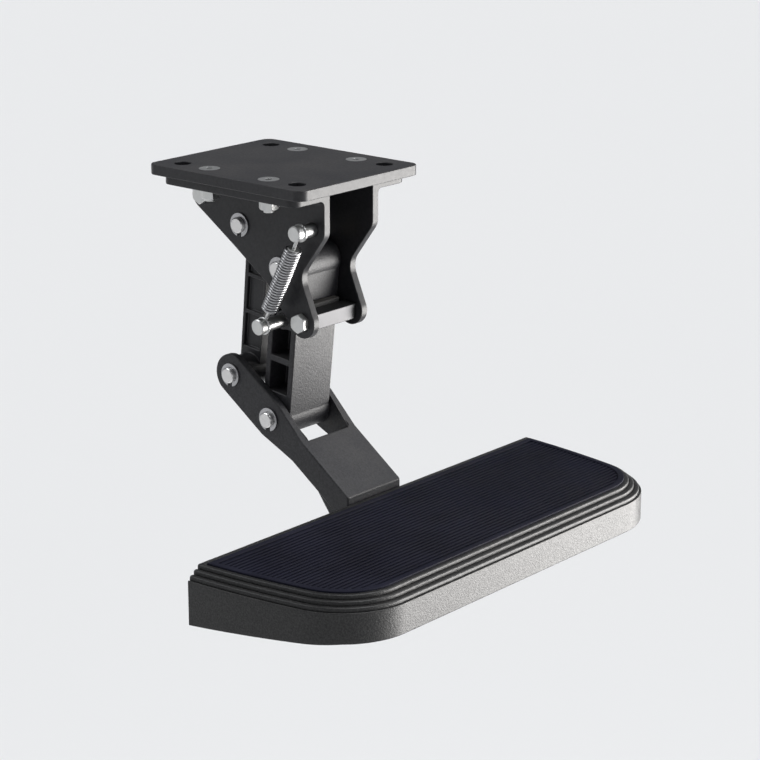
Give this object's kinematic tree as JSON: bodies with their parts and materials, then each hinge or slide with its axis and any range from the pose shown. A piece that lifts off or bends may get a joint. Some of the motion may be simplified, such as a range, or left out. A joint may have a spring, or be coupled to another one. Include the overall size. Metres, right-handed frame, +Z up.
{
  "type": "tailgate step",
  "caption": "Retractable step for the rear of a pickup: ribbed rubber mat on a dark cast deck, carried by a two-link parallel linkage under a bolt-on frame bracket.",
  "frame": {"origin": "middle of the bracket's flat top, the face that meets the vehicle frame", "axes": "+X along the step, to the right for someone standing behind the vehicle; -Y towards that person, the step's long front edge; +Z up"},
  "size_m": [0.396, 0.3081, 0.2844],
  "materials": {
    "deck_casting": "satin, fine-textured dark coating",
    "mat_rubber": "matt, ribbed",
    "black_casting": "semi-matt black paint over a cast surface",
    "black_steel": "semi-matt black paint",
    "zinc_steel": "bright zinc plate",
    "stainless": "ground",
    "spring_steel": "drawn wire",
    "bush_bronze": "plain machined",
    "brass_fitting": "turned",
    "pad_rubber": "matt"
  },
  "bodies": {
    "bracket": {"mount_plate": "black_steel", "left_cheek": "black_steel", "right_cheek": "black_steel", "plate_screws": "zinc_steel", "plate_nuts": "zinc_steel", "main_upper_pin": "stainless", "idler_upper_pin": "stainless", "upper_pin_clips": "spring_steel", "deployed_stop_bar": "zinc_steel", "deployed_stop_pad": "pad_rubber", "stowed_stop_bar": "zinc_steel", "stowed_stop_pad": "pad_rubber", "stop_bar_screws": "zinc_steel", "bracket_spring_post": "zinc_steel"},
    "main_link": {"main_arm": "black_casting", "main_upper_bushes": "bush_bronze", "main_lower_bushes": "bush_bronze", "main_grease_nipples": "brass_fitting", "arm_spring_post": "zinc_steel"},
    "idler_link": {"idler_arm": "black_steel", "idler_upper_bushes": "bush_bronze", "idler_lower_bushes": "bush_bronze", "idler_grease_nipples": "brass_fitting"},
    "step": {"step_deck": "deck_casting", "tread_mat": "mat_rubber", "carrier_arm": "black_casting", "carrier_screws": "zinc_steel", "carrier_nuts": "zinc_steel", "main_lower_pin": "stainless", "idler_lower_pin": "stainless", "lower_pin_clips": "spring_steel"},
    "spring": {"spring_coil": "spring_steel", "spring_bracket_eye": "zinc_steel"},
    "spring_end": {"spring_arm_eye": "zinc_steel"}
  },
  "joints": [
    {"name": "arm_swing", "type": "hinge", "parent": "bracket", "child": "main_link", "pos_m": [0, -0.02232, -0.07153], "axis": [1, 0, 0], "range_deg": [0, 76]},
    {"name": "idler_swing", "type": "hinge", "parent": "bracket", "child": "idler_link", "pos_m": [0, 0.017, -0.044], "axis": [1, 0, 0], "range_deg": [0, 76]},
    {"name": "step_level", "type": "hinge", "parent": "main_link", "child": "step", "pos_m": [0, -0.00978, -0.19087], "axis": [1, 0, 0], "range_deg": [-76, 0]},
    {"name": "spring_swing", "type": "hinge", "parent": "bracket", "child": "spring", "pos_m": [-0.043, -0.05566, -0.037], "axis": [1, 0, 0], "range_deg": [0, 35.4], "deforming": ["spring_coil"]},
    {"name": "spring_end_turn", "type": "hinge", "parent": "main_link", "child": "spring_end", "pos_m": [-0.043, -0.01793, -0.1133], "axis": [1, 0, 0], "range_deg": [-40.66, 0]}
  ],
  "couplings": [
    {"joint": "idler_swing", "follows": "arm_swing", "ratio": 1},
    {"joint": "step_level", "follows": "arm_swing", "ratio": -1},
    {"joint": "spring_swing", "follows": "arm_swing", "ratio": 0.4654},
    {"joint": "spring_end_turn", "follows": "arm_swing", "ratio": -0.5346}
  ]
}
